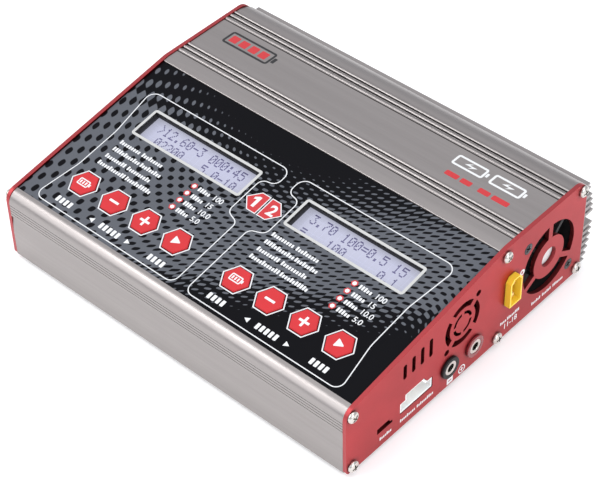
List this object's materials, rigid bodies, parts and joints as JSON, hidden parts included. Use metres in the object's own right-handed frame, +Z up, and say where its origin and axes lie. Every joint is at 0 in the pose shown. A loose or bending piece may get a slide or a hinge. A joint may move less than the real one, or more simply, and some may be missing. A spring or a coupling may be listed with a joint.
{
  "type": "dual channel battery charger",
  "caption": "Desktop charger for model batteries: brushed metal case, sloping deck with displays and hexagonal keys, red end plates with sockets and fans.",
  "frame": {"origin": "middle of the footprint, on the surface that the feet stand on", "axes": "+X along the case to the right as a user faces the displays, +Y to the rear fins, +Z up"},
  "size_m": [0.2056, 0.1684, 0.0559],
  "materials": {
    "brushed_shell": "brushed, clear anodised",
    "red_plate": "satin red anodised",
    "nickel_screws": "bright nickel",
    "rubber": "matt",
    "deck_print": "satin printed film",
    "green_board": "solder mask",
    "tan_board": "bare laminate",
    "black_metal": "black",
    "display": "positive display, lit",
    "black_plastic": "moulded",
    "copper_coils": "enamelled copper wire",
    "plain_aluminium": "as extruded",
    "capacitor_sleeves": "shrink sleeve",
    "transformer_tape": "yellow tape",
    "brass": "turned",
    "white_label": "paper label",
    "black_screws": "black oxide",
    "red_plastic": "moulded",
    "white_plastic": "moulded nylon",
    "gold_pins": "gold plated",
    "yellow_plastic": "moulded",
    "lead_sleeves": "silicone sleeve",
    "red_keys": "moulded silicone"
  },
  "bodies": {
    "case": {"lower_shell": "brushed_shell", "upper_shell": "brushed_shell", "left_end_plate": "red_plate", "right_end_plate": "red_plate", "end_plate_screws": "nickel_screws", "rubber_feet": "rubber", "deck_overlay": "deck_print", "left_display_board": "green_board", "right_display_board": "green_board", "left_display_frame": "black_metal", "right_display_frame": "black_metal", "left_display_glass": "display", "right_display_glass": "display", "key_board": "green_board", "key_switches": "black_plastic", "left_charger_board": "green_board", "right_charger_board": "green_board", "charger_inductors": "copper_coils", "charger_heat_sinks": "plain_aluminium", "charger_transistors": "black_plastic", "charger_capacitors": "capacitor_sleeves", "buzzer": "black_plastic", "supply_board": "tan_board", "supply_transformer": "transformer_tape", "supply_choke": "copper_coils", "supply_capacitors": "capacitor_sleeves", "supply_heat_sinks": "plain_aluminium", "supply_rectifier": "black_plastic", "board_standoffs": "brass", "board_screws": "nickel_screws", "left_fan_frame": "black_plastic", "right_fan_frame": "black_plastic", "fan_labels": "white_label", "fan_screws": "black_screws", "negative_socket_collars": "black_plastic", "positive_socket_collars": "red_plastic", "socket_tubes": "nickel_screws", "socket_nuts": "nickel_screws", "left_balance_header": "white_plastic", "right_balance_header": "white_plastic", "header_pins": "gold_pins", "temperature_headers": "black_plastic", "dc_inlet_housing": "yellow_plastic", "dc_inlet_pins": "gold_pins", "mains_inlet_housing": "black_plastic", "mains_inlet_blades": "nickel_screws", "power_leads": "lead_sleeves"},
    "left_battery_key": {"left_battery_key": "red_keys"},
    "left_minus_key": {"left_minus_key": "red_keys"},
    "left_plus_key": {"left_plus_key": "red_keys"},
    "left_start_key": {"left_start_key": "red_keys"},
    "right_battery_key": {"right_battery_key": "red_keys"},
    "right_minus_key": {"right_minus_key": "red_keys"},
    "right_plus_key": {"right_plus_key": "red_keys"},
    "right_start_key": {"right_start_key": "red_keys"},
    "left_fan_blades": {"left_fan_rotor": "black_plastic"},
    "right_fan_blades": {"right_fan_rotor": "black_plastic"}
  },
  "joints": [
    {"name": "left_battery_key_press", "type": "slide", "parent": "case", "child": "left_battery_key", "axis": [0, 0.1642, -0.9864], "range_m": [0, 0.0005], "stiffness_N_per_m": 400, "springref_m": -0.0004},
    {"name": "left_minus_key_press", "type": "slide", "parent": "case", "child": "left_minus_key", "axis": [0, 0.1642, -0.9864], "range_m": [0, 0.0005], "stiffness_N_per_m": 400, "springref_m": -0.0004},
    {"name": "left_plus_key_press", "type": "slide", "parent": "case", "child": "left_plus_key", "axis": [0, 0.1642, -0.9864], "range_m": [0, 0.0005], "stiffness_N_per_m": 400, "springref_m": -0.0004},
    {"name": "left_start_key_press", "type": "slide", "parent": "case", "child": "left_start_key", "axis": [0, 0.1642, -0.9864], "range_m": [0, 0.0005], "stiffness_N_per_m": 400, "springref_m": -0.0004},
    {"name": "right_battery_key_press", "type": "slide", "parent": "case", "child": "right_battery_key", "axis": [0, 0.1642, -0.9864], "range_m": [0, 0.0005], "stiffness_N_per_m": 400, "springref_m": -0.0004},
    {"name": "right_minus_key_press", "type": "slide", "parent": "case", "child": "right_minus_key", "axis": [0, 0.1642, -0.9864], "range_m": [0, 0.0005], "stiffness_N_per_m": 400, "springref_m": -0.0004},
    {"name": "right_plus_key_press", "type": "slide", "parent": "case", "child": "right_plus_key", "axis": [0, 0.1642, -0.9864], "range_m": [0, 0.0005], "stiffness_N_per_m": 400, "springref_m": -0.0004},
    {"name": "right_start_key_press", "type": "slide", "parent": "case", "child": "right_start_key", "axis": [0, 0.1642, -0.9864], "range_m": [0, 0.0005], "stiffness_N_per_m": 400, "springref_m": -0.0004},
    {"name": "left_fan_spin", "type": "hinge", "parent": "case", "child": "left_fan_blades", "pos_m": [-0.093, 0.049, 0.0282], "axis": [1, 0, 0], "continuous": true},
    {"name": "right_fan_spin", "type": "hinge", "parent": "case", "child": "right_fan_blades", "pos_m": [0.093, 0.049, 0.0282], "axis": [1, 0, 0], "continuous": true}
  ]
}
